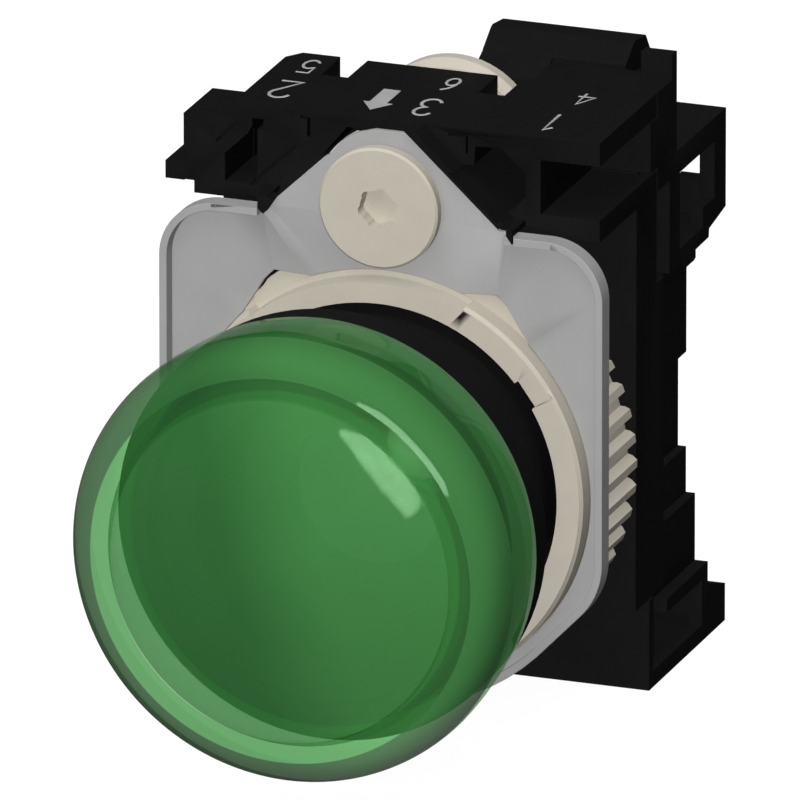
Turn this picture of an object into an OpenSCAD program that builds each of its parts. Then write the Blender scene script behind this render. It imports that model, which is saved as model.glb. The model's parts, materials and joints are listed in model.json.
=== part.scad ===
// Panel pilot light: green lens cap on a 22 mm neck, toothed locking ring,
// tray-shaped clamp plate, rear holder with a pressure pad driven by a rear knob,
// and a clip-in lamp and terminal module.
// Frame: origin on the neck axis at the rear face of the front flange,
// +Y points to the rear (behind the panel), +Z up, +X to the right seen from the front.

/* [Head] */
// Radius of the front flange
flange_r = 13.5; // [13.3:0.1:13.8]
// Thickness of the front flange
flange_t = 3.0; // [2.6:0.1:3.0]
// Radius of the neck that passes through the panel
neck_r = 11.0; // [10.9:0.05:11.1]
// Length of the neck behind the flange
neck_l = 13.5; // [12.5:0.1:13.8]
// Radius of the light bore through the head
bore_r = 8.5; // [8.3:0.1:8.8]

/* [Lens] */
// Largest radius of the lens
lens_r = 14.32; // [14.2:0.02:14.8]
// Radius of the skirt edge next to the flange
lens_skirt_r = 13.9; // [13.7:0.1:14.1]
// Distance of the front ledge ahead of the flange rear face
lens_ledge_y = 10.9; // [10.8:0.1:11.4]
// Outer radius of the flat front ledge
ledge_ro = 12.35; // [12.3:0.05:12.8]
// Inner radius of the flat front ledge
ledge_ri = 11.05; // [11:0.05:11.5]
// Height of the crowned centre above the ledge
crown_h = 1.5; // [0.8:0.1:2]

/* [Locking ring] */
// Bore radius of the ring
ring_bore = 11.65; // [11.4:0.05:11.8]
// Distance of the ring's front face behind the flange
ring_front = 6.73; // [6.6:0.01:6.9]
// Tooth tip radius
tooth_tip = 13.83; // [13.7:0.01:14]
// Tooth root radius
tooth_root = 13.1; // [12.9:0.05:13.2]
// Number of teeth
teeth = 53; // [40:1:60]

/* [Clamp plate] */
// Half width of the plate
plate_r = 14.5; // [14.3:0.05:14.6]
// Height of the plate's shoulders above the axis
plate_top = 16.8; // [16.6:0.1:17.0]
// Height of the tab's flat top above the axis
tab_top = 22.45; // [22:0.05:22.6]
// Depth of the tray rim
rim_d = 1.0; // [0.8:0.1:1.2]

/* [Clamp screw] */
// Height of the screw axis above the neck axis
pad_z = 17.85; // [17.7:0.05:18.2]
// Radius of the pressure pad
pad_r = 3.9; // [3.5:0.1:4.0]
// Radius of the rear knob
knob_r = 5.56; // [5.2:0.02:5.8]

/* [Holder] */
// Half width of the holder
hold_x = 13.55; // [13.4:0.05:13.7]
// Height of the holder's top face above the axis
hold_top = 22.8; // [22.6:0.05:22.9]
// Thickness of the top slab
slab_t = 1.5; // [1.2:0.1:1.7]
// Distance of the holder's front wall behind the flange
wall_y0 = 15.9; // [15.85:0.05:16]
// Distance of the rear face of that wall
wall_y1 = 18.4; // [18.3:0.05:18.45]

/* [Module] */
// Distance of the module's bottom below the axis
mod_bot = 15.85; // [15.4:0.05:16]
// Distance of the module's rear cover behind the flange
mod_rear = 29.3; // [28.9:0.05:29.4]
// Height of the upper terminal's top face
term_top = 17.85; // [17.6:0.05:18]

/* [Hidden] */
$fn = 72;
e = 0.05;                       // overlap used inside one solid
ts_x = 8.6;                     // terminal screw axis, X
t1_z = 14.3;                    // upper terminal screw axis, Z
t2_z = -12.4;                   // lower terminal screw axis, Z
slab_z = hold_top - slab_t;     // underside of the top slab
sh_z0 = 16.4;                   // underside of the holder's lower shelf
sh_z1 = 17.8;                   // top of that shelf
f_y = 9.15;                     // front of the holder's upper part

BLACK = [0.10, 0.10, 0.10];
BEIGE = [0.72, 0.69, 0.62];
GREY = [0.62, 0.62, 0.62];
STEEL = [0.75, 0.75, 0.77];
BRASS = [0.78, 0.64, 0.32];

// revolve a (radius, Y) profile about the neck axis
module yrev() rotate([-90, 0, 0]) rotate_extrude() children();
// extrude an (X, Z) outline from Y = a to Y = b
module yext(a, b) translate([0, b, 0]) rotate([90, 0, 0]) linear_extrude(b - a) children();
// extrude a (Y, Z) outline from X = a to X = b
module xext(a, b) translate([a, 0, 0]) rotate([90, 0, 90]) linear_extrude(b - a) children();
// box from its two corners
module bx(x0, y0, z0, x1, y1, z1) translate([x0, y0, z0]) cube([x1 - x0, y1 - y0, z1 - z0]);
// cylinder along Y
module ycyl(r, a, b, x = 0, z = 0) translate([x, a, z]) rotate([-90, 0, 0]) cylinder(r = r, h = b - a);
// tube along Y
module ytube(ro, ri, a, b, x = 0, z = 0) difference() { ycyl(ro, a, b, x, z); ycyl(ri, a - 1, b + 1, x, z); }

// ---------------------------------------------------------------- head
module bezel() color(BLACK) difference() {
    yrev() polygon([
        [bore_r, -flange_t], [10.9, -flange_t], [10.9, -5.0], [11.9, -5.0], [11.9, -4.45], [11.4, -4.45],
        [11.4, -3.55], [11.9, -3.55], [11.9, -flange_t], [flange_r, -flange_t], [flange_r, -0.25],
        [flange_r - 0.25, 0], [13.1, 0], [13.1, -0.6], [11.4, -0.6], [11.4, 0], [neck_r, 0],
        [neck_r, 6.6], [neck_r - 0.4, 6.7], [neck_r - 0.4, neck_l - 0.5], [neck_r - 0.9, neck_l], [bore_r, neck_l]]);
    // two keyways at the rear end of the neck
    for (a = [0, 180]) rotate([0, a, 0]) bx(-1.1, neck_l - 4.0, neck_r - 1.1, 1.1, neck_l + 1, neck_r + 1);
}
module panel_seal() color([0.05, 0.05, 0.05]) yrev() polygon([[11.4, -0.6], [13.1, -0.6], [13.1, 0], [11.4, 0]]);
module lens_gasket() color([0.05, 0.05, 0.05]) yrev() polygon([[11.4, -4.45], [11.86, -4.45], [11.9, -4.0], [11.86, -3.55], [11.4, -3.55]]);

function crown(r, r0, h) = h * (1 - (r / r0) * (r / r0));
module lens() color([0.20, 0.60, 0.24, 0.7]) yrev() polygon(concat(
    [[12.0, -flange_t - 0.05], [lens_skirt_r, -flange_t - 0.05], [lens_skirt_r + 0.25, -5.2],
     [lens_r, -7.2], [lens_r - 0.02, -8.2], [lens_r - 0.16, -8.8], [lens_r - 0.42, -9.4], [lens_r - 0.82, -10.0], [lens_r - 1.32, -10.5],
     [ledge_ro, -lens_ledge_y], [ledge_ri, -lens_ledge_y]],
    [for (i = [14:-1:0]) let (r = (ledge_ri - 0.1) * i / 14) [r, -lens_ledge_y - 0.12 - crown(r, ledge_ri - 0.1, crown_h)]],
    [for (i = [0:12]) let (r = 10.6 * i / 12) [r, -lens_ledge_y + 1.1 - crown(r, 10.6, crown_h)]],
    [[11.7, -9.65], [11.75, -9.4], [11.75, -5.4], [12.0, -5.2]]));

// ---------------------------------------------------------------- locking ring
module gear2d() rotate(-4.39) polygon([for (i = [0:teeth - 1], k = [0:3])
    let (p = 360 / teeth, a = (i + [0, 0.42, 0.56, 0.86][k]) * p, r = [tooth_root, tooth_root, tooth_tip, tooth_tip][k])
    [r * cos(a), r * sin(a)]]);
module locking_ring() color(BEIGE) difference() {
    union() {
        yrev() polygon([[ring_bore, ring_front], [13.1, ring_front], [13.3, ring_front + 0.25], [13.3, 8.6],
            [tooth_root, 8.6], [tooth_root, 15.7], [ring_bore, 15.7]]);
        intersection() {
            yext(8.6, 15.7) difference() { gear2d(); circle(r = 12.4); }
            yrev() polygon([[12, 8.6], [13.3, 8.6], [13.9, 9.1], [13.9, 15.3], [13.4, 15.7], [12, 15.7]]);
        }
        // two lugs just behind the plate, seen through its notches
        yext(8.42, 8.9) for (m = [0, 1]) mirror([m, 0])
            polygon([[4.7, 11.6], [4.9, 12.75], [6.3, 12.75], [7.2, 12.35], [7.85, 11.85], [8.62, 10.65], [10.5, 8.25], [9.4, 8.25]]);
    }
    ycyl(ring_bore, 0, 20);
    // recessed outer edge over the top and the bottom of the front
    intersection() {
        ytube(13.6, 12.95, 6, 8.3);
        yext(5, 9) for (m = [0, 180]) rotate(m) polygon([[0, 0], [9.06, 19.4], [-16.5, 19.4]]);
    }
    // bayonet notches in the bore, each with a fine joint line at its end
    for (a = [54.5, 174.5, 294.5]) rotate([0, a, 0]) {
        bx(-0.97, 6, 11.3, 0.97, 16, 11.9);
        rotate([0, 4.6, 0]) bx(-0.05, 6, 11.4, 0.05, ring_front + 0.12, 13.6);
    }
}

// ---------------------------------------------------------------- clamp plate
// outline of the tray, drawn in by i
module tray2d(i) hull() {
    circle(r = plate_r - i);
    for (s = [-1, 1]) {
        translate([s * (plate_r - 5), -3.8]) circle(r = 5 - i);
        translate([s * (plate_r - 3.7), plate_top - 3.7]) circle(r = 3.7 - i);
    }
}
module tab2d() polygon([[-7.9, plate_top - 0.6], [-7.69, plate_top], [-3.96, 20.36], [-3.6, 20.55], [-2.94, 21.43], [-2.35, 21.87], [-1.66, 22.19], [-0.7, tab_top], [1.3, tab_top], [7.42, plate_top], [7.7, plate_top - 0.6]]);
module clamp_plate() color(GREY) difference() {
    union() {
        yext(8.0, 8.34) union() { tray2d(0); tab2d(); }
        difference() {
            yext(7.0, 8.1) tray2d(0);
            yext(6.9, 8.0) tray2d(0.5);
            // the rim stops where the tab starts
            bx(-8.05, 6.9, 14, 8.05, 8.0, 18);
        }
    }
    ycyl(13.4, 6, 9);
    ycyl(2.35, 6, 9, 0, pad_z);
    // notches round the ring's lugs
    yext(6, 9) for (m = [0, 1]) mirror([m, 0])
        polygon([[4.8, 11.5], [5.05, 12.5], [7.3, 12.62], [7.95, 11.94], [8.7, 10.7], [9.35, 9.7], [8.6, 9.7]]);
}

// ---------------------------------------------------------------- holder
// narrow slit in the front face, from (x0, z0) to (x1, z1)
module slit(x0, z0, x1, z1, w, d) yext(f_y - 3, f_y + d) translate([x0, z0]) rotate(atan2(z1 - z0, x1 - x0))
    translate([0, -w / 2]) square([norm([x1 - x0, z1 - z0]), w]);
module holder_frame() color(BLACK) difference() {
    union() {
        // wall behind the ring, higher behind the middle
        bx(-hold_x, wall_y0, -9.8, hold_x, wall_y1, sh_z1);
        bx(-11.0, wall_y0, sh_z1 - e, 9.7, wall_y1, slab_z + e);
        // side cheeks that guide the modules
        bx(hold_x - 0.75, wall_y1 - e, -9.8, hold_x, 21.05, 10.4);
        bx(hold_x - 0.75, wall_y1 - e, 10.3, hold_x, 19.6, sh_z1);
        bx(-hold_x, wall_y1 - e, -9.8, -hold_x + 0.9, 25.5, 16.3);
        bx(-5.95, wall_y1 - e, -9.8, -5.15, 25.5, 11.6);
        // shelf, slab and the body between them
        bx(-12.97, f_y, sh_z0 + 0.2, -8.8, wall_y0 + e, 17.6);
        bx(-8.85, f_y, sh_z0, hold_x, wall_y0 + e, sh_z1);
        bx(-10.4, f_y, slab_z, hold_x, wall_y0 + e, hold_top);
        bx(-8.81, f_y, sh_z1 - e, 9.7, wall_y0 + e, slab_z + e);
        // lobes of the top slab over the three module places
        translate([0, 0, slab_z - 0.2]) linear_extrude(slab_t + 0.2) {
            polygon([[-10.4, 14], [-7.0, 14], [-7.2, 19.6], [-9.65, 19.6], [-10.4, 18.5]]);
            polygon([[-5.37, 14], [3.17, 14], [3.17, 19.5], [-5.37, 19.5]]);
            polygon([[4.9, 14], [9.7, 14], [9.7, 19.6], [5.3, 19.6], [4.9, 19.1]]);
        }
        bx(9.6, 14, slab_z, hold_x, 19.6, hold_top);
        // narrow arm along the tab's right edge, proud of the plate
        yext(7.4, f_y + e) polygon([[1.38, hold_top], [2.1, hold_top], [7.92, 17.45], [7.55, 17.12]]);
        // left wing, its lip and the web that joins it to the slab over the open slot
        bx(-13.66, f_y, 17.4, -10.94, 14.3, 21.7);
        bx(-14.86, f_y, 17.35, -13.6, 13.4, 18.5);
        bx(-12.97, f_y, sh_z0 + 0.2, -10.94, 14.3, 17.5);
        bx(-11.9, 14.2, 17.3, -10.9, wall_y0 + e, 20.3);
        yext(f_y, wall_y0 + e) polygon([[-10.99, 19.46], [-10.9, 19.46], [-9.44, 20.85], [-9.15, slab_z + e], [-10.39, slab_z + e], [-10.39, 21.7], [-10.99, 21.7]]);
        // hooks in front of the plate at both feet of the tab
        yext(6.9, 7.9) polygon([[-8.0, 17.58], [-8.0, 16.88], [-7.63, 16.53], [-6.98, 17.53], [-7.2, 17.68]]);
        yext(6.9, f_y + e) polygon([[-8.0, 16.98], [-7.8, 16.98], [-7.35, 17.48], [-7.35, 17.73], [-8.0, 17.73]]);
        yext(6.75, 6.95) polygon([[8.3, 17.23], [8.3, 16.98], [8.68, 16.48], [8.72, 16.48], [8.72, 17.23]]);
        bx(8.3, 6.75, 16.95, 8.72, f_y + e, 17.33);
        // boss round the screw
        ycyl(3.6, f_y + 0.1, wall_y0 + e, 0, pad_z);
    }
    // light opening through the wall
    ycyl(9.0, 15, 26);
    // open channel on the right
    bx(9.7, 6, sh_z1, hold_x + 1, wall_y1 + 1, slab_z);
    // pocket between the slanted web and the channel
    yext(6, 15.2) polygon([[5.43, 21.7], [7.12, 21.77], [8.73, 20.36], [8.73, 18.8], [7.46, 17.5], [4.25, 20.4], [5.36, 20.5]]);
    // slots and slits in the front face
    yext(f_y - 1, 14.3) polygon([[-4.6, 19.95], [-2.95, 22.0], [-1.9, 22.0], [-3.6, 19.95]]);
    bx(-9.15, f_y - 1, slab_z - 0.1, -8.4, 15, 21.87);
    slit(-11.54, 20.1, -10.2, 21.4, 0.2, 0.9);
    slit(-9.3, 17.55, -6.25, 20.45, 0.2, 1.2);
    slit(-6.0, 22.28, -5.35, 22.28, 0.16, 0.8);
    slit(-5.45, 22.3, -5.45, 21.05, 0.2, 0.8);
    slit(3.7, 22.3, 4.95, 22.3, 0.16, 0.8);
    slit(4.88, 22.3, 4.88, 21.15, 0.14, 0.5);
    // bore and cavity of the spindle, guide of the pad's stem
    ycyl(1.3, 6, 20, 0, pad_z);
    ycyl(2.7, 14.9, 15.8 + 0.1, 0, pad_z);
    intersection() { ycyl(2.25, 6, 15.3, 0, pad_z); bx(-1.75, 6, 10, 1.75, 15.3, 22); }
    // plunger openings of the empty place on the left
    for (z = [-4.5, 4.5]) bx(-11.6, 15, z - 1.6, -10.0, 20, z + 1.6);
}

// ---------------------------------------------------------------- clamp screw
module pressure_pad() color(BEIGE) difference() {
    union() {
        translate([0, 0, pad_z]) yrev() polygon([[0, 6.56], [pad_r - 0.15, 6.56], [pad_r, 6.7], [pad_r, 7.3], [pad_r - 0.25, 7.6], [pad_r - 0.25, 7.88], [0, 7.88]]);
        intersection() { ycyl(2.1, 7.8, 14.6, 0, pad_z); bx(-1.6, 7.8, 10, 1.6, 14.6, 22); }
    }
    ycyl(1.25, 8.0, 16, 0, pad_z);
    // blind six-lobe socket in the front
    translate([0, 0, pad_z]) yext(6, 7.6) union() {
        circle(r = 1.18);
        for (a = [15:60:315]) rotate(a) translate([0.95, 0]) circle(r = 0.38, $fn = 24);
    }
}
// washer behind the tab that guides the pad's stem
module guide_washer() color(BEIGE) yext(8.38, 9.12) difference() {
    intersection() {
        translate([0, pad_z]) circle(r = 4.62);
        polygon([[-5, 15.0], [4.2, 15.0], [4.2, 19.3], [1.35, 21.9], [-5, 21.9]]);
    }
    translate([0, pad_z]) circle(r = 2.35);
}
module clamp_knob() color(BEIGE) translate([0, 0, pad_z]) yrev() polygon([[1.2, 19.5], [2.6, 19.5], [2.6, 19.7],
    [knob_r - 0.55, 19.7], [knob_r, 20.15], [knob_r, 21.0], [knob_r - 0.4, 21.4], [4.5, 21.4], [4.2, 20.9],
    [2.7, 20.9], [2.5, 21.4], [1.2, 21.4]]);
module clamp_spindle() color(STEEL) difference() {
    union() {
        ycyl(1.2, 8.1, 21.35, 0, pad_z);
        ycyl(2.3, 18.5, 19.5, 0, pad_z);
    }
    bx(-2, 20.75, pad_z - 0.2, 2, 22, pad_z + 0.2);
    // seat of the retaining ring
    ytube(3, 1.0, 15.2, 15.6, 0, pad_z);
}
module spindle_clip() color(STEEL) difference() {
    ytube(2.2, 1.0, 15.22, 15.58, 0, pad_z);
    bx(-0.7, 15, pad_z - 3, 0.7, 16, pad_z - 0.3);
}

// ---------------------------------------------------------------- module
module module_housing() color([0.09, 0.09, 0.09]) difference() {
    union() {
        // nose that carries the light guide
        ycyl(7.9, 4.0, wall_y1 + 1, 0, 0);
        // main block and the stepped right flank
        bx(-5.0, wall_y1 + 0.05, -mod_bot, 11.57, mod_rear, 9.8);
        bx(11.5, wall_y1 + 0.05, 2.7, 12.1, mod_rear, 9.8);
        bx(11.5, wall_y1 + 0.05, -9.85, 12.1, mod_rear, -3.5);
        bx(12.0, wall_y1 + 0.05, 8.9, 12.7, mod_rear, 9.8);
        bx(12.0, 21.7, -10.9, 12.7, mod_rear, -6.5);
        bx(11.5, wall_y1 + 0.05, -10.9, 12.7, mod_rear, -9.85);
        // block that carries the upper terminal
        bx(5.4, wall_y1 + 0.05, 9.75, 12.7, 22.1, term_top);
        xext(5.4, hold_x) polygon([[22.0, 10.3], [24.0, 10.3], [24.7, 9.7], [26.7, 9.7], [26.7, 10.3], [29.3, 10.35], [29.4, 10.9],
            [32.45, 11.4], [32.45, term_top], [22.0, term_top]]);
        // top block, flush with the holder's slab
        bx(5.45, 19.75, 16.35, hold_x, 23.3, hold_top);
        bx(9.85, wall_y1 + 0.05, sh_z1 + 0.12, hold_x, 19.8, slab_z - 0.12);
        bx(11.5, 22.4, hold_top - e, hold_x, 23.3, 24.4);
        // lower terminal
        xext(-5.0, hold_x) polygon([[wall_y1 + 0.05, -mod_bot], [32.55, -mod_bot], [32.55, -13.4], [29.45, -12.4], [mod_rear, -12.4], [mod_rear, -10.9],
            [21.7, -10.9], [21.7, -11.8], [19.3, -11.8], [19.3, -9.95], [wall_y1 + 0.05, -9.95]]);
        // pedestal of the latch
        xext(6.3, 9.3) polygon([[25.6, term_top - e], [28.8, term_top - e], [28.2, 20.2], [28.0, 20.8], [27.6, 21.1], [26.9, 21.1]]);
    }
    // space for the rear knob
    ycyl(6.05, 18, 23.2, 0, pad_z);
    // bore for the light guide and board cavity
    ycyl(5.0, 3, 20);
    bx(-4.0, 19.45, -8.6, 10.6, mod_rear + 1, 8.6);
    bx(-4.5, mod_rear - 0.75, -9.2, 11.0, mod_rear + 1, 9.2);
    // upper terminal: chamber, side window, driver opening
    bx(5.95, 23.9, 11.35, 12.75, 30.6, 16.8);
    bx(12.7, 23.9, 12.65, 14, 30.3, 16.3);
    bx(12.7, 23.9, 11.35, 14, 28.2, 12.7);
    bx(10.0, 30, 13.35, 12.46, 33, 16.3);
    ycyl(2.25, 30, 33, ts_x, t1_z);
    bx(5.95, 24.6, 8, 6.75, 28.05, 12);
    // lower terminal: chamber, side opening, driver opening
    bx(5.95, 23.9, -14.8, 12.7, 29.9, -10.95);
    bx(5.95, 23.9, -11, 11.4, 29.9, -10.0);
    bx(4.0, 19.3, -14.75, 14, 28.2, -11.8);
    ycyl(2.25, 28.3, 33, ts_x, t2_z);
    bx(5.95, 24.6, -10.5, 6.75, 28.05, -8);
    // bore of the latch pin
    translate([0, 27.5, 20.15]) rotate([0, 90, 0]) cylinder(r = 0.5, h = 20);
}
module module_cover() color([0.12, 0.12, 0.12]) difference() {
    bx(-4.45, mod_rear - 0.75, -9.15, 10.95, mod_rear - 0.02, 9.15);
    // vent slots
    for (x = [-2.6:1.6:9]) bx(x - 0.3, 28, -5, x + 0.3, 30, 5);
}
module latch_clip() color([0.11, 0.11, 0.11]) difference() {
    union() {
        xext(0.7, 10.1) polygon([[23.6, 22.2], [23.55, 22.95], [25.05, 23.95], [25.35, 24.05], [27.3, 23.8], [28.75, 21.8], [28.75, 20.3], [28.4, 20.3],
            [28.35, 20.9], [27.9, 21.4], [26.3, 22.0]]);
        xext(0.7, 5.3) polygon([[21.6, 21.5], [21.6, 22.0], [23.7, 22.95], [23.7, 22.2]]);
        for (x = [5.35, 9.45]) xext(x, x + 0.65) polygon([[26.2, 22.1], [26.9, 19.4], [28.3, 19.4], [28.75, 20.4], [28.4, 21.6]]);
    }
    translate([0, 27.5, 20.15]) rotate([0, 90, 0]) cylinder(r = 0.55, h = 20);
}
module latch_pin() color(STEEL) translate([5.3, 27.5, 20.15]) rotate([0, 90, 0]) cylinder(r = 0.5, h = 4.85);
module circuit_board() color([0.10, 0.33, 0.18]) difference() {
    bx(-3.9, 19.5, -8.5, 10.5, 20.5, 8.5);
    for (x = [-2.9, 9.5], z = [-7.5, 7.5]) ycyl(0.8, 19, 21, x, z);
}
module led() color([0.92, 0.93, 0.90]) yrev() polygon(concat([[0, 19.5], [2.9, 19.5], [2.9, 18.5], [2.5, 18.5], [2.5, 15.5]],
    [for (a = [10:10:90]) [2.5 * cos(a), 15.5 - 2.5 * sin(a)]]));
module light_pipe() color([0.9, 0.95, 0.95, 0.4]) yrev() polygon(concat([[0, 12.0], [2.6, 12.6], [4.2, 12.6], [4.96, 12.0], [4.96, 6.0]],
    [for (i = [6:-1:0]) [4.9 * i / 6, 6.0 - crown(i, 6, 1.0) - 0.1]]));
module dropper_resistor() color([0.80, 0.72, 0.55]) union() {
    ycylz(1.25, -3.4, 3.4);
    for (s = [-1, 1]) {
        translate([8.2, 23.0, s > 0 ? 3.3 : -5.0]) cylinder(r = 0.35, h = 1.7);
        translate([8.2, 20.5, s * 4.7]) rotate([-90, 0, 0]) cylinder(r = 0.35, h = 2.8);
    }
}
module ycylz(r, a, b) translate([8.2, 23.0, a]) cylinder(r = r, h = b - a);
module rectifier() color([0.07, 0.07, 0.08]) union() {
    bx(-2.2, 21.0, -2.4, 2.2, 23.4, 2.4);
    for (x = [-1.5, 1.5], z = [-1.6, 1.6]) bx(x - 0.3, 20.5, z - 0.2, x + 0.3, 21.1, z + 0.2);
}
// strip from the board to a terminal: a leg beside the cage and a tab behind it
module strip(zc, s) color(BRASS) difference() {
    union() {
        bx(5.97, 24.7, s > 0 ? 4.0 : zc - 1.7, 6.73, 28.0, s > 0 ? zc + 1.7 : -4.0);
        bx(5.97, 20.5, s > 0 ? 4.0 : -6.0, 6.73, 24.8, s > 0 ? 6.0 : -4.0);
        bx(6.7, 27.2, zc - 1.7, 10.6, 28.0, zc + 1.7);
    }
    ycyl(1.35, 27, 29, ts_x, zc);
}
module contact_strip_x1() strip(t1_z, 1);
module contact_strip_x2() strip(t2_z, -1);
module cage(zc) color([0.70, 0.70, 0.66]) difference() {
    union() {
        bx(6.95, 24.3, zc - 2.3, 10.5, 25.6, zc + 2.3);
        bx(6.95, 25.5, zc - 2.3, 10.5, 28.0, zc - 1.85);
        bx(6.95, 25.5, zc + 1.85, 10.5, 28.0, zc + 2.3);
    }
    ycyl(1.27, 24, 26, ts_x, zc);
}
module terminal_clamp_x1() cage(t1_z);
module terminal_clamp_x2() cage(t2_z);
module tscrew(zc) color(STEEL) difference() {
    union() {
        translate([ts_x, 0, zc]) yrev() polygon([[0, 24.1], [1.0, 24.1], [1.2, 24.3], [1.2, 28.05], [1.75, 28.05], [1.75, 29.2], [1.5, 29.45], [0, 29.45]]);
    }
    bx(ts_x - 2, 28.8, zc - 0.22, ts_x + 2, 30, zc + 0.22);
    bx(ts_x - 0.22, 28.8, zc - 1.1, ts_x + 0.22, 30, zc + 1.1);
}
module terminal_screw_x1() tscrew(t1_z);
module terminal_screw_x2() tscrew(t2_z);

bezel();
panel_seal();
lens_gasket();
lens();
locking_ring();
clamp_plate();
holder_frame();
guide_washer();
pressure_pad();
clamp_knob();
clamp_spindle();
spindle_clip();
module_housing();
module_cover();
latch_clip();
latch_pin();
circuit_board();
led();
light_pipe();
dropper_resistor();
rectifier();
contact_strip_x1();
contact_strip_x2();
terminal_clamp_x1();
terminal_clamp_x2();
terminal_screw_x1();
terminal_screw_x2();
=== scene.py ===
import json
import math

import bmesh
import bpy
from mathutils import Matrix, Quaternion, Vector


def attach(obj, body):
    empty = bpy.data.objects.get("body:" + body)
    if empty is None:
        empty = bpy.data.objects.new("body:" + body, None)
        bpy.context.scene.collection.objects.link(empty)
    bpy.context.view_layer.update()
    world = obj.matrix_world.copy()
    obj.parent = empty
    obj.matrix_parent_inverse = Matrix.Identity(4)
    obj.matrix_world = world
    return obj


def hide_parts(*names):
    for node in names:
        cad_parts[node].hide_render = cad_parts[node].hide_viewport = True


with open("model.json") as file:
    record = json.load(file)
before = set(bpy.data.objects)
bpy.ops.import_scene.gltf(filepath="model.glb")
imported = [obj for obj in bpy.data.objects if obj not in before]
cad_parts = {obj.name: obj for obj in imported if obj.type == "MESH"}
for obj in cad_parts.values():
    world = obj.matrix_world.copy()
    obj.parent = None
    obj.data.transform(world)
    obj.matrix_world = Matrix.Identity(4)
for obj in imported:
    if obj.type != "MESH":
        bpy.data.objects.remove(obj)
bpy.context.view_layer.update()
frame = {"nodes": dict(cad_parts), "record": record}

MM = 0.001
col = bpy.context.scene.collection
NODE = frame["nodes"]
BODIES = frame["record"]["behaviour"]["bodies"]
BODY = {n: b for b, ns in BODIES.items() for n in ns}
SLOT = {s["node"]: s["material_slot"] for s in frame["record"]["subparts"]}


# ---------------------------------------------------------------- materials
class Tree:
    """A material with one Principled shader and object-space coordinates."""

    def __init__(self, name):
        self.m = bpy.data.materials.new(name)
        self.m.use_nodes = True
        self.nt = self.m.node_tree
        self.p = self.nt.nodes["Principled BSDF"]
        self.out = self.nt.nodes["Material Output"]
        self.co = self.nt.nodes.new("ShaderNodeTexCoord").outputs["Object"]

    def node(self, kind, **values):
        n = self.nt.nodes.new(kind)
        for k, v in values.items():
            setattr(n, k, v)
        return n

    def link(self, a, b):
        self.nt.links.new(a, b)

    def stretched(self, scale):
        mp = self.node("ShaderNodeMapping")
        mp.inputs["Scale"].default_value = scale
        self.link(self.co, mp.inputs["Vector"])
        return mp.outputs["Vector"]

    def noise(self, scale, detail=3.0, rough=0.55, vector=None):
        n = self.node("ShaderNodeTexNoise")
        n.inputs["Scale"].default_value = scale
        n.inputs["Detail"].default_value = detail
        n.inputs["Roughness"].default_value = rough
        self.link(vector or self.co, n.inputs["Vector"])
        return n.outputs["Fac"]

    def ramp(self, fac, a, b, lo=0.35, hi=0.65):
        r = self.node("ShaderNodeValToRGB")
        r.color_ramp.elements[0].position = lo
        r.color_ramp.elements[1].position = hi
        r.color_ramp.elements[0].color = (*a, 1)
        r.color_ramp.elements[1].color = (*b, 1)
        self.link(fac, r.inputs["Fac"])
        return r.outputs["Color"]

    def span(self, fac, lo, hi, a=0.3, b=0.7):
        r = self.node("ShaderNodeMapRange")
        r.inputs["From Min"].default_value = a
        r.inputs["From Max"].default_value = b
        r.inputs["To Min"].default_value = lo
        r.inputs["To Max"].default_value = hi
        self.link(fac, r.inputs["Value"])
        return r.outputs["Result"]

    def math(self, op, a, b=None):
        n = self.node("ShaderNodeMath", operation=op)
        for i, v in enumerate((a, b)):
            if v is None:
                continue
            if isinstance(v, (int, float)):
                n.inputs[i].default_value = v
            else:
                self.link(v, n.inputs[i])
        return n.outputs[0]

    def bump(self, height, strength, distance):
        b = self.node("ShaderNodeBump")
        b.inputs["Strength"].default_value = strength
        b.inputs["Distance"].default_value = distance
        self.link(height, b.inputs["Height"])
        self.link(b.outputs["Normal"], self.p.inputs["Normal"])


def moulded(name, a, b, rough=(0.42, 0.55), spec=0.3, grain=4200, depth=0.000012, strength=0.35):
    """Moulded plastic: faint flow mottling in the colour, eroded grain in the surface."""
    t = Tree(name)
    flow = t.noise(520, 1)
    t.link(t.ramp(flow, a, b), t.p.inputs["Base Color"])
    t.link(t.span(flow, *rough), t.p.inputs["Roughness"])
    t.p.inputs["Specular IOR Level"].default_value = spec
    t.bump(t.noise(grain, 1, 0.6), strength, depth)
    return t.m


def metal(name, a, b, rough=(0.28, 0.42), metallic=1.0, stretch=(300, 300, 6000), depth=0.000006, strength=0.25, spec=0.5):
    """Drawn or rolled metal: colour variation and fine lines along one direction."""
    t = Tree(name)
    lines = t.noise(1.0, 1, 0.6, t.stretched(stretch))
    t.link(t.ramp(t.noise(260, 1), a, b), t.p.inputs["Base Color"])
    t.link(t.span(lines, *rough), t.p.inputs["Roughness"])
    t.p.inputs["Metallic"].default_value = metallic
    t.p.inputs["Specular IOR Level"].default_value = spec
    t.bump(lines, strength, depth)
    return t.m


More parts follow.
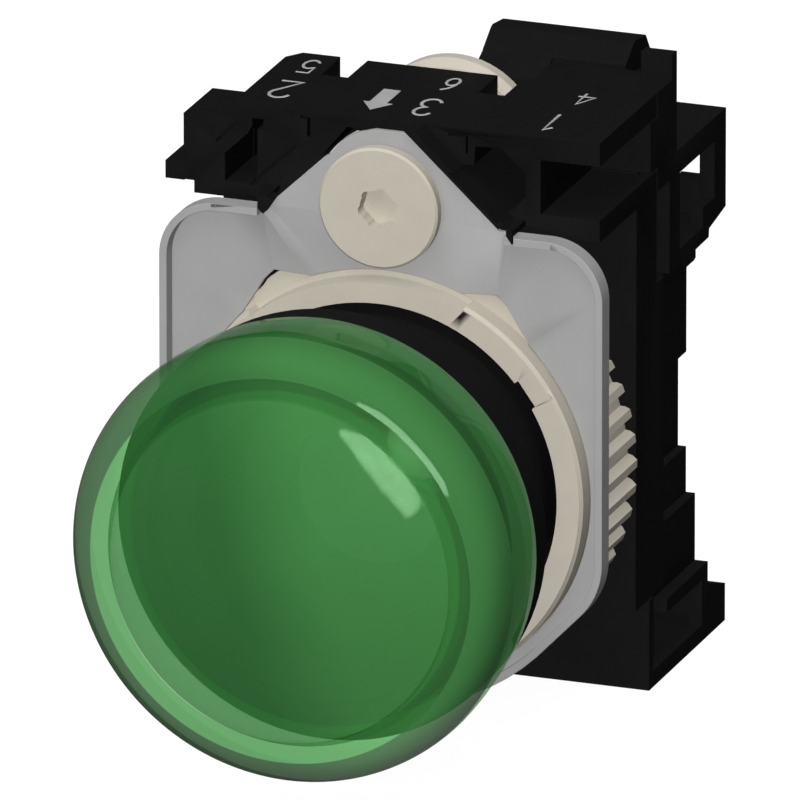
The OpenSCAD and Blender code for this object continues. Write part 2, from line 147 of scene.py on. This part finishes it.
M = {}
M["black_plastic"] = moulded("black_plastic", (0.0066, 0.0066, 0.0067), (0.0072, 0.0072, 0.0073), rough=(0.5, 0.6), spec=0.005, depth=0.000006)
M["beige_plastic"] = moulded("beige_plastic", (0.384, 0.358, 0.302), (0.398, 0.370, 0.312), rough=(0.5, 0.6), spec=0.06, depth=0.000006)
M["seal_rubber"] = moulded("seal_rubber", (0.010, 0.010, 0.010), (0.016, 0.016, 0.016), rough=(0.7, 0.85), spec=0.2, grain=3000)
M["resistor_body"] = moulded("resistor_body", (0.40, 0.30, 0.17), (0.47, 0.36, 0.21), spec=0.5, rough=(0.25, 0.4))
M["black_epoxy"] = moulded("black_epoxy", (0.006, 0.006, 0.007), (0.011, 0.011, 0.012), spec=0.4, rough=(0.3, 0.45))
M["plate_metal"] = metal("plate_metal", (0.282, 0.282, 0.283), (0.296, 0.296, 0.297), rough=(0.5, 0.6), metallic=0.15, stretch=(5000, 260, 260), depth=0.000004, strength=0.2, spec=0.12)
M["steel"] = metal("steel", (0.50, 0.50, 0.51), (0.60, 0.60, 0.61))
M["cage_steel"] = metal("cage_steel", (0.52, 0.50, 0.44), (0.62, 0.60, 0.54), stretch=(300, 5000, 300))
M["brass"] = metal("brass", (0.62, 0.44, 0.18), (0.74, 0.54, 0.24), stretch=(300, 300, 5000))
M["print_grey"] = moulded("print_grey", (0.28, 0.28, 0.28), (0.32, 0.32, 0.32), spec=0.2, grain=9000, depth=0.000003)


def board_material():
    t = Tree("board_laminate")
    weave = t.node("ShaderNodeTexBrick")
    weave.inputs["Scale"].default_value = 1400
    weave.inputs["Color1"].default_value = (0.012, 0.085, 0.035, 1)
    weave.inputs["Color2"].default_value = (0.016, 0.105, 0.045, 1)
    weave.inputs["Mortar"].default_value = (0.010, 0.07, 0.03, 1)
    mp = t.node("ShaderNodeMapping")
    mp.inputs["Rotation"].default_value = (math.radians(90), 0, 0)
    t.link(t.co, mp.inputs["Vector"])
    t.link(mp.outputs["Vector"], weave.inputs["Vector"])
    t.link(weave.outputs["Color"], t.p.inputs["Base Color"])
    t.link(t.span(t.noise(800), 0.25, 0.38), t.p.inputs["Roughness"])
    t.bump(weave.outputs["Fac"], 0.15, 0.00001)
    return t.m


def clear_material(name, tint, body, share, rough):
    """Clear or tinted plastic: a share of it scatters its own colour, the rest lets tinted light straight through."""
    t = Tree(name)
    flow = t.noise(300, 1)
    t.link(t.ramp(flow, tuple(c * 0.94 for c in body), body), t.p.inputs["Base Color"])
    t.link(t.span(flow, rough, rough * 1.5), t.p.inputs["Roughness"])
    see = t.node("ShaderNodeBsdfTransparent")
    see.inputs["Color"].default_value = (*tint, 1)
    mix = t.node("ShaderNodeMixShader")
    t.link(t.span(flow, share * 0.94, share * 1.06), mix.inputs["Fac"])
    t.link(see.outputs[0], mix.inputs[1])
    t.link(t.p.outputs[0], mix.inputs[2])
    t.link(mix.outputs[0], t.out.inputs["Surface"])
    return t.m


M["board_laminate"] = board_material()
M["led_body"] = clear_material("led_body", (0.92, 0.94, 0.90), (0.60, 0.62, 0.58), 0.5, 0.12)
M["clear_guide"] = clear_material("clear_guide", (0.90, 0.94, 0.92), (0.10, 0.12, 0.11), 0.12, 0.10)


def lens_material():
    """Green lens, clearer on the flat ledge. The rounded shoulder gets more scatter and a dark grey tint: painted shade
    for the shoulder turned away from the light, partly also a denser path through it. The barrel and a band on it get a
    darker base colour, which is painted shade, and the base colour lightens toward +X and upward, which is painted
    shading. Each region has its own share of scattered light and its own tint for the light that goes straight through.
    """
    t = Tree("green_lens")
    sep = t.node("ShaderNodeSeparateXYZ")
    t.link(t.co, sep.inputs[0])
    x, y, z = sep.outputs
    r = t.math("SQRT", t.math("ADD", t.math("MULTIPLY", x, x), t.math("MULTIPLY", z, z)))
    front = t.span(y, 1, 0, -10.7 * MM, -10.6 * MM)
    ledge = t.math("MULTIPLY", t.math("MULTIPLY", t.span(r, 0, 1, 10.98 * MM, 11.02 * MM), t.span(r, 1, 0, 12.34 * MM, 12.40 * MM)), front)
    outer = t.span(r, 0, 1, 12.34 * MM, 12.40 * MM)
    shoulder = t.math("MULTIPLY", outer, t.span(y, 1, 0, -8.45 * MM, -8.30 * MM))
    barrel = t.math("MULTIPLY", outer, t.span(y, 0, 1, -8.45 * MM, -8.30 * MM))
    wall = t.math("MULTIPLY", t.math("MULTIPLY", t.span(r, 0, 1, 11.20 * MM, 11.30 * MM), t.span(r, 1, 0, 12.20 * MM, 12.30 * MM)), t.span(y, 0, 1, -9.9 * MM, -9.7 * MM))
    flow = t.noise(150, 1)
    share = t.span(flow, 0.30, 0.32)
    tint = None
    base = (0.80, 0.92, 0.81)
    # The shoulder's dark grey tint and extra scatter are painted shade for its shading, partly also a denser path
    # through the rounded rim.
    for mask, amount, colour in ((ledge, -0.055, (0.40, 0.75, 0.41)), (wall, -0.20, (0.62, 0.76, 0.63)),
                                 (barrel, 0.115, (0.75, 0.95, 0.76)), (shoulder, 0.135, (0.22, 0.17, 0.21))):
        share = t.math("ADD", share, t.math("MULTIPLY", mask, amount))
        mix = t.node("ShaderNodeMix", data_type="RGBA")
        t.link(mask, mix.inputs["Factor"])
        if tint is None:
            mix.inputs["A"].default_value = (*base, 1)
        else:
            t.link(tint, mix.inputs["A"])
        mix.inputs["B"].default_value = (*colour, 1)
        tint = mix.outputs["Result"]
    # Painted shading: the base colour lightens toward +X and upward, as if lit from the upper right. The flow noise
    # only jitters the ramp.
    depth = t.math("ADD", t.math("ADD", x, t.math("MULTIPLY", z, 0.25)), t.math("MULTIPLY", flow, 0.5 * MM))
    body = t.ramp(t.span(depth, 0, 1, -10 * MM, 11 * MM), (0.048, 0.207, 0.055), (0.083, 0.322, 0.089))
    # Painted shade: the barrel, and a band on it, get a darker base colour and a little more scatter.
    painted_shade_band = t.math("MULTIPLY", barrel, t.span(y, 1, 0, -5.85 * MM, -5.75 * MM))
    share = t.math("ADD", share, t.math("MULTIPLY", painted_shade_band, 0.05))
    barrel_painted_shade = t.node("ShaderNodeMix", data_type="RGBA")
    t.link(t.math("ADD", t.math("MULTIPLY", barrel, 0.35), t.math("MULTIPLY", painted_shade_band, 0.40)), barrel_painted_shade.inputs["Factor"])
    t.link(body, barrel_painted_shade.inputs["A"])
    barrel_painted_shade.inputs["B"].default_value = (0.010, 0.070, 0.012, 1)
    t.link(barrel_painted_shade.outputs["Result"], t.p.inputs["Base Color"])
    t.link(t.span(flow, 0.03, 0.05), t.p.inputs["Roughness"])
    t.p.inputs["Specular IOR Level"].default_value = 0.25
    t.p.inputs["Specular Tint"].default_value = (0.6, 1.0, 0.62, 1)
    see = t.node("ShaderNodeBsdfTransparent")
    t.link(tint, see.inputs["Color"])
    mix = t.node("ShaderNodeMixShader")
    t.link(share, mix.inputs["Fac"])
    t.link(see.outputs[0], mix.inputs[1])
    t.link(t.p.outputs[0], mix.inputs[2])
    t.link(mix.outputs[0], t.out.inputs["Surface"])
    return t.m


M["green_lens"] = lens_material()


# ---------------------------------------------------------------- pieces
def place(ob, body, slot, *nodes):
    col.objects.link(ob)
    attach(ob, body)
    if nodes:
        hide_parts(*nodes)
    return ob


def refined(node, width, segments=2, angle=32):
    """The node's own shape with its hard edges rounded like a moulded or tumbled part, and smooth shading on its round faces."""
    me = NODE[node].data.copy()
    bm = bmesh.new()
    bm.from_mesh(me)
    bmesh.ops.remove_doubles(bm, verts=bm.verts, dist=1e-7)
    for f in bm.faces:
        f.smooth = True
    for e in bm.edges:
        e.smooth = not (len(e.link_faces) == 2 and e.calc_face_angle(0) > math.radians(angle))
    bm.to_mesh(me)
    bm.free()
    me.materials.clear()
    me.materials.append(M[SLOT[node]])
    ob = bpy.data.objects.new(node + "_look", me)
    if width:
        b = ob.modifiers.new("edges", "BEVEL")
        b.width = width
        b.segments = segments
        b.limit_method = "ANGLE"
        b.angle_limit = math.radians(angle)
        b.use_clamp_overlap = True
        b.miter_outer = "MITER_ARC"
        b.harden_normals = True
    return place(ob, BODY[node], SLOT[node], node)


def revolved(name, profile, segments=192, sharp=30):
    """A closed (radius, Y) outline in mm, revolved about the neck axis."""
    bm = bmesh.new()
    rings = []
    for r, y in profile:
        if r < 1e-6:
            rings.append([bm.verts.new((0, y * MM, 0))])
        else:
            rings.append([bm.verts.new((r * MM * math.cos(2 * math.pi * i / segments), y * MM, r * MM * math.sin(2 * math.pi * i / segments))) for i in range(segments)])
    n = len(rings)
    for k in range(n):
        a, b = rings[k], rings[(k + 1) % n]
        if len(a) == 1 and len(b) == 1:
            continue
        for i in range(segments):
            j = (i + 1) % segments
            if len(a) == 1:
                bm.faces.new((a[0], b[i], b[j]))
            elif len(b) == 1:
                bm.faces.new((a[i], b[0], a[j]))
            else:
                bm.faces.new((a[i], b[i], b[j], a[j]))
    bmesh.ops.recalc_face_normals(bm, faces=bm.faces)
    for f in bm.faces:
        f.smooth = True
    for e in bm.edges:
        e.smooth = not (len(e.link_faces) == 2 and e.calc_face_angle(0) > math.radians(sharp))
    me = bpy.data.meshes.new(name)
    bm.to_mesh(me)
    bm.free()
    return bpy.data.objects.new(name, me)


def lens():
    ring = [(12.0, -3.05), (13.75, -3.05), (13.87, -3.12), (13.92, -3.25), (14.14, -5.2), (14.25, -6.4), (14.30, -7.3)]
    # shoulder: a smooth curve from the barrel to the flat ledge
    a, b, c = Vector((14.32, -7.6, 0)), Vector((14.28, -10.55, 0)), Vector((12.40, -10.88, 0))
    ring += [tuple(((1 - s) ** 2 * a + 2 * s * (1 - s) * b + s * s * c)[:2]) for s in [i / 18 for i in range(19)]]
    ring += [(12.34, -10.9), (11.14, -10.9), (11.09, -10.92), (11.02, -11.0)]
    r0 = 10.98
    ring += [(r0 * i / 28, -11.02 - 1.5 * (1 - (i / 28) ** 2)) for i in range(28, -1, -1)]
    ring += [(10.6 * i / 24, -9.8 - 1.5 * (1 - (i / 24) ** 2)) for i in range(0, 25)]
    ring += [(11.3, -9.7), (11.62, -9.62), (11.72, -9.5), (11.75, -9.3), (11.75, -5.6), (11.78, -5.35), (11.86, -5.22), (12.0, -5.2)]
    ob = revolved("lens_cap_green", ring, sharp=38)
    ob.data.materials.append(M["green_lens"])
    return place(ob, "lens_cap", "green_lens", "lens")


lens()
refined("bezel", 0.00012)
refined("locking_ring", 0.00005, 2, 28)
refined("clamp_plate", 0.00005)
refined("holder_frame", 0.00006)
refined("guide_washer", 0.00008)
refined("pressure_pad", 0.00008, 3, 25)
refined("clamp_knob", 0.00010, 3, 25)
refined("clamp_spindle", 0.00008)
refined("module_housing", 0.00006)
refined("module_cover", 0.00006)
refined("latch_clip", 0.00006)
refined("latch_pin", 0.00006)
for n in ("terminal_screw_x1", "terminal_screw_x2"):
    refined(n, 0.00006)
for n in ("terminal_clamp_x1", "terminal_clamp_x2", "contact_strip_x1", "contact_strip_x2"):
    refined(n, 0.00005)
for n in NODE:
    if NODE[n].hide_render:
        continue
    ob = NODE[n]
    if not ob.data.materials:
        ob.data.materials.append(M[SLOT[n]])
    for s in ob.material_slots:
        s.material = M[SLOT[n]]


# ---------------------------------------------------------------- printed marks
def stroke(name, lines, centre, wide, tall, width=0.2, top=22.8, height=0.035):
    """Thin strokes printed on the holder's top. Points are glyph units in mm, with the glyph's top toward the front: it is read from behind."""
    cu = bpy.data.curves.new(name, "CURVE")
    cu.dimensions = "3D"
    cu.bevel_depth = width / 2 * MM
    cu.bevel_resolution = 2
    cu.use_fill_caps = True
    for pts in lines:
        sp = cu.splines.new("POLY")
        sp.points.add(len(pts) - 1)
        for p, (gx, gy) in zip(sp.points, pts):
            p.co = ((centre[0] - gx * wide) * MM, (centre[1] - gy * tall) * MM, 0, 1)
    tmp = bpy.data.objects.new(name + "_c", cu)
    col.objects.link(tmp)
    bpy.context.view_layer.update()
    dg = bpy.context.evaluated_depsgraph_get()
    me = bpy.data.meshes.new_from_object(tmp.evaluated_get(dg))
    bpy.data.objects.remove(tmp)
    for v in me.vertices:
        v.co.z = top * MM + v.co.z * (height / (width / 2))
    me.materials.clear()
    me.materials.append(M["print_grey"])
    ob = bpy.data.objects.new(name, me)
    return place(ob, "holder", "plate_metal")


def arc(cx, cy, rx, ry, a0, a1, n=10):
    return [(cx + rx * math.cos(math.radians(a0 + (a1 - a0) * i / n)), cy + ry * math.sin(math.radians(a0 + (a1 - a0) * i / n))) for i in range(n + 1)]


DIGITS = {
    "1": [[(-0.35, 0.62), (0.05, 1.0), (0.05, -1.0)]],
    "2": [arc(0, 0.5, 0.52, 0.5, 165, -35, 12) + [(-0.55, -1.0), (0.58, -1.0)]],
    "3": [arc(0, 0.5, 0.48, 0.5, 160, -90, 12) + arc(0, -0.5, 0.52, 0.5, 90, -160, 12)],
    "4": [[(0.25, -1.0), (0.25, 1.0), (-0.6, -0.45), (0.62, -0.45)]],
    "5": [[(0.5, 1.0), (-0.42, 1.0), (-0.5, 0.1)] + arc(0, -0.35, 0.55, 0.65, 125, -150, 14)],
    "6": [[(0.38, 1.0), (-0.15, 0.62), (-0.48, 0.0)] + arc(0, -0.42, 0.52, 0.58, 160, -200, 18)],
}
for d, spec in {"2": (-8.25, 12.45, 1.25, 1.6), "5": (-8.35, 17.15, 0.85, 1.22), "3": (1.2, 12.2, 1.15, 1.6),
                "6": (1.05, 16.85, 0.75, 1.18), "1": (9.4, 12.05, 1.0, 1.55), "4": (9.8, 16.9, 0.9, 1.05)}.items():
    stroke("mark_" + d, DIGITS[d], spec[:2], spec[2], spec[3], 0.24 if d in "123" else 0.2)


def arrow(centre, top=22.8, height=0.03):
    """Printed arrow that points to the front."""
    pts = [(0, -2.05), (0.95, -0.6), (0.56, -0.6), (0.56, 2.0), (-0.56, 2.0), (-0.56, -0.6), (-0.95, -0.6)]
    bm = bmesh.new()
    low = [bm.verts.new(((centre[0] + a) * MM, (centre[1] + b) * MM, (top - 0.02) * MM)) for a, b in pts]
    high = [bm.verts.new(((centre[0] + a) * MM, (centre[1] + b) * MM, (top + height) * MM)) for a, b in pts]
    bm.faces.new(low)
    bm.faces.new(high)
    for i in range(len(pts)):
        j = (i + 1) % len(pts)
        bm.faces.new((low[i], low[j], high[j], high[i]))
    bmesh.ops.recalc_face_normals(bm, faces=bm.faces)
    me = bpy.data.meshes.new("mark_arrow")
    bm.to_mesh(me)
    bm.free()
    me.materials.append(M["print_grey"])
    ob = bpy.data.objects.new("mark_arrow", me)
    b = ob.modifiers.new("edges", "BEVEL")
    b.width = 0.00001
    b.segments = 1
    return place(ob, "holder", "plate_metal")


arrow((-1.95, 12.6))


# ---------------------------------------------------------------- floor, light, camera
def floor():
    me = bpy.data.meshes.new("floor")
    s, z = 3.0, -15.9 * MM
    me.from_pydata([(-s, -s, z), (s, -s, z), (s, s, z), (-s, s, z)], [], [(0, 1, 2, 3)])
    t = Tree("floor_pale")
    t.p.inputs["Base Color"].default_value = (0.22, 0.22, 0.22, 1)
    t.p.inputs["Roughness"].default_value = 0.9
    t.p.inputs["Specular IOR Level"].default_value = 0.0
    t.p.inputs["Emission Color"].default_value = (1, 1, 1, 1)
    t.p.inputs["Emission Strength"].default_value = 0.80
    me.materials.append(t.m)
    ob = bpy.data.objects.new("floor", me)
    col.objects.link(ob)
    ob.visible_diffuse = False
    ob.visible_glossy = False


floor()
sc = bpy.context.scene
sc.view_settings.view_transform = "Standard"
sc.view_settings.look = "None"

world = bpy.data.worlds.new("studio")
sc.world = world
world.use_nodes = True
world.node_tree.nodes["Background"].inputs["Color"].default_value = (1, 1, 1, 1)
world.node_tree.nodes["Background"].inputs["Strength"].default_value = 0.11


def toward(ob, d):
    ob.rotation_mode = "QUATERNION"
    ob.rotation_quaternion = Vector(d).to_track_quat("-Z", "Y")


def sun(name, d, level, spread, shadow=True):
    """Distant light from direction d. level is how bright it makes a white face turned toward it."""
    li = bpy.data.lights.new(name, "SUN")
    li.energy = level * math.pi
    li.angle = math.radians(spread)
    li.use_shadow = shadow
    ob = bpy.data.objects.new(name, li)
    toward(ob, -Vector(d))
    ob.visible_glossy = False
    col.objects.link(ob)


sun("key", (0.10, -0.45, 0.85), 0.30, 50)
sun("top_fill", (0.10, -0.45, 0.85), 0.62, 30, shadow=False)
sun("front_fill", (0.08, -0.90, 0.30), 0.80, 30, shadow=False)
sun("rear_fill", (0.05, 0.97, 0.05), 0.45, 40, shadow=False)
sun("left_fill", (-0.85, 0.50, 0.10), 0.17, 40, shadow=False)

soft = bpy.data.lights.new("front_softbox", "AREA")
soft.shape = "RECTANGLE"
soft.size = 0.17
soft.size_y = 0.12
soft.energy = 1.9
so = bpy.data.objects.new("front_softbox", soft)
d = Vector((0.050, -0.994, 0.080)).normalized()
so.location = Vector((8 * MM, -12 * MM, 8 * MM)) + d * 0.5
toward(so, -d)
so.rotation_quaternion = so.rotation_quaternion @ Quaternion((0, 0, 1), math.radians(-48))
so.visible_diffuse = False
col.objects.link(so)

cam = bpy.data.cameras.new("camera")
cam.type = "PERSP"
cam.lens = 1500
cam.sensor_width = 36
co = bpy.data.objects.new("camera", cam)
az, el = math.radians(20), math.radians(19)
right = Vector((math.cos(az), math.sin(az), 0))
up = Vector((-math.sin(az) * math.sin(el), math.cos(az) * math.sin(el), math.cos(el)))
fwd = up.cross(right)
k = 16290.0
aim = right * (59.0 / k) + up * (116.6 / k)
dist = (800 / k) * cam.lens / cam.sensor_width
co.location = aim - fwd * dist
co.rotation_mode = "QUATERNION"
co.rotation_quaternion = fwd.to_track_quat("-Z", "Y")
cam.clip_start = 0.05
cam.clip_end = 20
col.objects.link(co)
sc.camera = co

bpy.context.view_layer.update()
